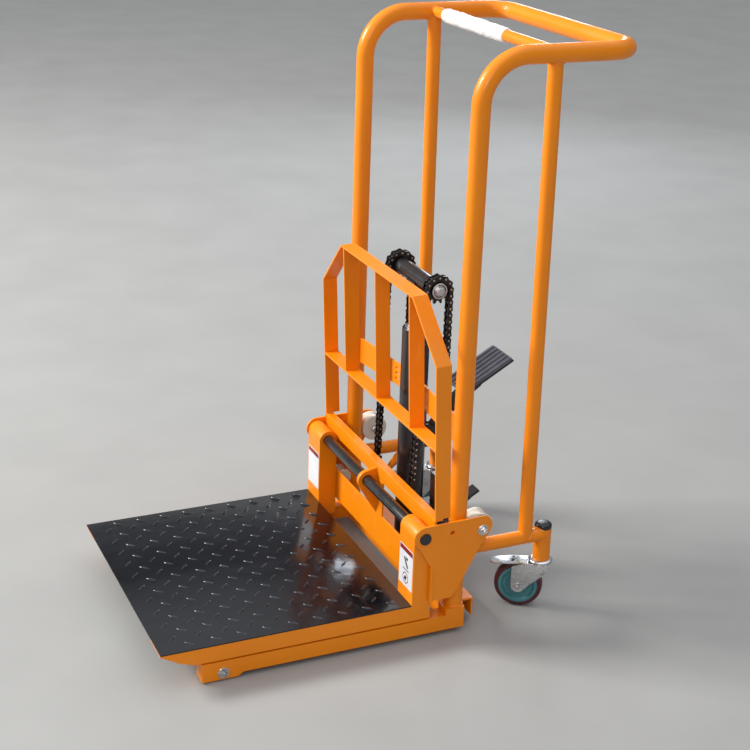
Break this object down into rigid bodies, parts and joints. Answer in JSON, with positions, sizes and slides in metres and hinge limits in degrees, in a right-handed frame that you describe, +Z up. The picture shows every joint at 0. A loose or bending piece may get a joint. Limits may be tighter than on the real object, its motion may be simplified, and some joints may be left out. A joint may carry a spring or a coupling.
{
  "type": "walkie stacker",
  "caption": "Foot-pump hydraulic push stacker with chain-lifted fork carriage, tread-plate platform, bent tube handle, swivel casters and front rollers.",
  "frame": {"origin": "point on the floor below the middle of the machine's bounding box", "axes": "+Z up, +Y towards the handle and the person who pushes it, +X to the left of that person as they face the forks; the machine's middle plane is X = 0, and right in a node name means the +X side"},
  "size_m": [0.692, 1.12, 1.376],
  "materials": {
    "orange_paint": "glossy orange powder coat",
    "black_paint": "satin black paint",
    "tread_plate": "glossy black enamel on lentil tread plate",
    "chain_steel": "oiled dark steel",
    "chrome": "hard chrome",
    "zinc": "bright zinc plate",
    "nylon": "off-white cast nylon",
    "wheel_core": "teal moulded core with a dark maroon tread",
    "black_plastic": "moulded black plastic",
    "pedal_rubber": "ribbed dark rubber",
    "foam": "white foam wrap"
  },
  "bodies": {
    "frame": {"handle_tube_left": "orange_paint", "handle_tube_right": "orange_paint", "handle_rear_bar": "orange_paint", "rear_strut_left": "orange_paint", "rear_strut_right": "orange_paint", "cross_brace": "orange_paint", "foam_wrap": "foam", "side_tube_left": "orange_paint", "side_tube_right": "orange_paint", "caster_socket_left": "orange_paint", "caster_socket_right": "orange_paint", "socket_caps": "black_plastic", "caster_races": "zinc", "leg_left": "orange_paint", "leg_right": "orange_paint", "base_crossmember": "orange_paint", "mid_brace": "orange_paint", "lift_cylinder": "black_paint", "gland_ring": "zinc", "pump_block": "black_paint", "chain_anchor": "black_paint", "front_axles": "zinc"},
    "carriage": {"side_plate_left": "orange_paint", "side_plate_right": "orange_paint", "upper_crossbar": "orange_paint", "lower_crossbeam": "orange_paint", "backrest_rim": "orange_paint", "backrest_bars": "orange_paint", "roller_axles": "zinc", "chain_lugs": "black_paint"},
    "ram": {"ram": "chrome", "yoke": "black_paint", "sprocket_shaft": "zinc", "hub_tube": "black_paint", "chain_left": "chain_steel", "chain_right": "chain_steel"},
    "fork_hanger": {"fork_rod": "black_paint"},
    "fork_left": {"fork_left": "orange_paint"},
    "fork_right": {"fork_right": "orange_paint"},
    "platform": {"platform": "tread_plate"},
    "pump_pedal": {"pump_lever": "black_paint", "pedal_pad": "pedal_rubber"},
    "pump_plunger": {"pump_plunger": "chrome"},
    "release_pedal": {"release_pedal": "black_paint"},
    "upper_roller_left": {"upper_roller_left": "nylon"},
    "upper_roller_right": {"upper_roller_right": "nylon"},
    "lower_roller_left": {"lower_roller_left": "nylon"},
    "lower_roller_right": {"lower_roller_right": "nylon"},
    "sprocket_left": {"sprocket_left": "chain_steel"},
    "sprocket_right": {"sprocket_right": "chain_steel"},
    "caster_left": {"caster_fork_left": "zinc", "caster_axle_left": "zinc"},
    "caster_right": {"caster_fork_right": "zinc", "caster_axle_right": "zinc"},
    "caster_wheel_left": {"caster_wheel_left": "wheel_core"},
    "caster_wheel_right": {"caster_wheel_right": "wheel_core"},
    "brake_pedal_left": {"brake_pedal_left": "zinc"},
    "brake_pedal_right": {"brake_pedal_right": "zinc"},
    "front_roller_left": {"front_roller_left": "nylon"},
    "front_roller_right": {"front_roller_right": "nylon"}
  },
  "joints": [
    {"name": "carriage_lift", "type": "slide", "parent": "frame", "child": "carriage", "axis": [0, 0, 1], "range_m": [0, 0.85]},
    {"name": "ram_lift", "type": "slide", "parent": "frame", "child": "ram", "axis": [0, 0, 1], "range_m": [0, 0.425], "deforming": ["chain_left", "chain_right"]},
    {"name": "sprocket_spin_left", "type": "hinge", "parent": "ram", "child": "sprocket_left", "pos_m": [-0.104, 0.185, 0.782], "axis": [-1, 0, 0], "continuous": true},
    {"name": "sprocket_spin_right", "type": "hinge", "parent": "ram", "child": "sprocket_right", "pos_m": [0.104, 0.185, 0.782], "axis": [-1, 0, 0], "continuous": true},
    {"name": "upper_roller_spin_left", "type": "hinge", "parent": "carriage", "child": "upper_roller_left", "pos_m": [-0.3045, 0.2143, 0.2673], "axis": [1, 0, 0], "continuous": true},
    {"name": "upper_roller_spin_right", "type": "hinge", "parent": "carriage", "child": "upper_roller_right", "pos_m": [0.3045, 0.2143, 0.2673], "axis": [1, 0, 0], "continuous": true},
    {"name": "lower_roller_spin_left", "type": "hinge", "parent": "carriage", "child": "lower_roller_left", "pos_m": [-0.3045, 0.1245, 0.135], "axis": [1, 0, 0], "continuous": true},
    {"name": "lower_roller_spin_right", "type": "hinge", "parent": "carriage", "child": "lower_roller_right", "pos_m": [0.3045, 0.1245, 0.135], "axis": [1, 0, 0], "continuous": true},
    {"name": "fork_fold", "type": "hinge", "parent": "carriage", "child": "fork_hanger", "pos_m": [0, 0.067, 0.2685], "axis": [-1, 0, 0], "range_deg": [0, 90]},
    {"name": "fork_slide_right", "type": "slide", "parent": "fork_hanger", "child": "fork_right", "axis": [-1, 0, 0], "range_m": [0, 0.24]},
    {"name": "fork_slide_left", "type": "slide", "parent": "fork_hanger", "child": "fork_left", "axis": [1, 0, 0], "range_m": [0, 0.24]},
    {"name": "platform_lift_off", "type": "slide", "parent": "fork_hanger", "child": "platform", "axis": [0, 0, 1], "range_m": [0, 0.15]},
    {"name": "caster_swivel_left", "type": "hinge", "parent": "frame", "child": "caster_left", "pos_m": [-0.288, 0.407, 0.1235], "axis": [0, 0, 1], "continuous": true},
    {"name": "caster_spin_left", "type": "hinge", "parent": "caster_left", "child": "caster_wheel_left", "pos_m": [-0.29668, 0.35776, 0.059], "axis": [0.9848, -0.1736, 0], "continuous": true},
    {"name": "brake_press_left", "type": "hinge", "parent": "caster_left", "child": "brake_pedal_left", "pos_m": [-0.2939, 0.37352, 0.1255], "axis": [0.9848, -0.1736, 0], "range_deg": [0, 4]},
    {"name": "front_roller_spin_left", "type": "hinge", "parent": "frame", "child": "front_roller_left", "pos_m": [-0.31, -0.416, 0.02], "axis": [1, 0, 0], "continuous": true},
    {"name": "caster_swivel_right", "type": "hinge", "parent": "frame", "child": "caster_right", "pos_m": [0.288, 0.407, 0.1235], "axis": [0, 0, 1], "continuous": true},
    {"name": "caster_spin_right", "type": "hinge", "parent": "caster_right", "child": "caster_wheel_right", "pos_m": [0.25932, 0.36604, 0.059], "axis": [0.8192, -0.5736, 0], "continuous": true},
    {"name": "brake_press_right", "type": "hinge", "parent": "caster_right", "child": "brake_pedal_right", "pos_m": [0.2685, 0.37915, 0.1255], "axis": [0.8192, -0.5736, 0], "range_deg": [0, 4]},
    {"name": "front_roller_spin_right", "type": "hinge", "parent": "frame", "child": "front_roller_right", "pos_m": [0.31, -0.416, 0.02], "axis": [1, 0, 0], "continuous": true},
    {"name": "pump_pedal_press", "type": "hinge", "parent": "frame", "child": "pump_pedal", "pos_m": [0, 0.234, 0.38], "axis": [-1, 0, 0], "range_deg": [0, 40], "stiffness_Nm_per_rad": 20, "springref_deg": -28.65},
    {"name": "pump_plunger_slide", "type": "slide", "parent": "frame", "child": "pump_plunger", "axis": [0, 0, -1], "range_m": [0, 0.03]},
    {"name": "release_pedal_press", "type": "hinge", "parent": "frame", "child": "release_pedal", "pos_m": [0, 0.334, 0.17], "axis": [-1, 0, 0], "range_deg": [0, 14], "stiffness_Nm_per_rad": 3, "springref_deg": -22.92}
  ],
  "couplings": [
    {"joint": "ram_lift", "follows": "carriage_lift", "ratio": 0.5},
    {"joint": "sprocket_spin_left", "follows": "carriage_lift", "rad_per_m": 16.304},
    {"joint": "sprocket_spin_right", "follows": "carriage_lift", "rad_per_m": 16.304},
    {"joint": "pump_plunger_slide", "follows": "pump_pedal_press", "m_per_rad": 0.035}
  ]
}
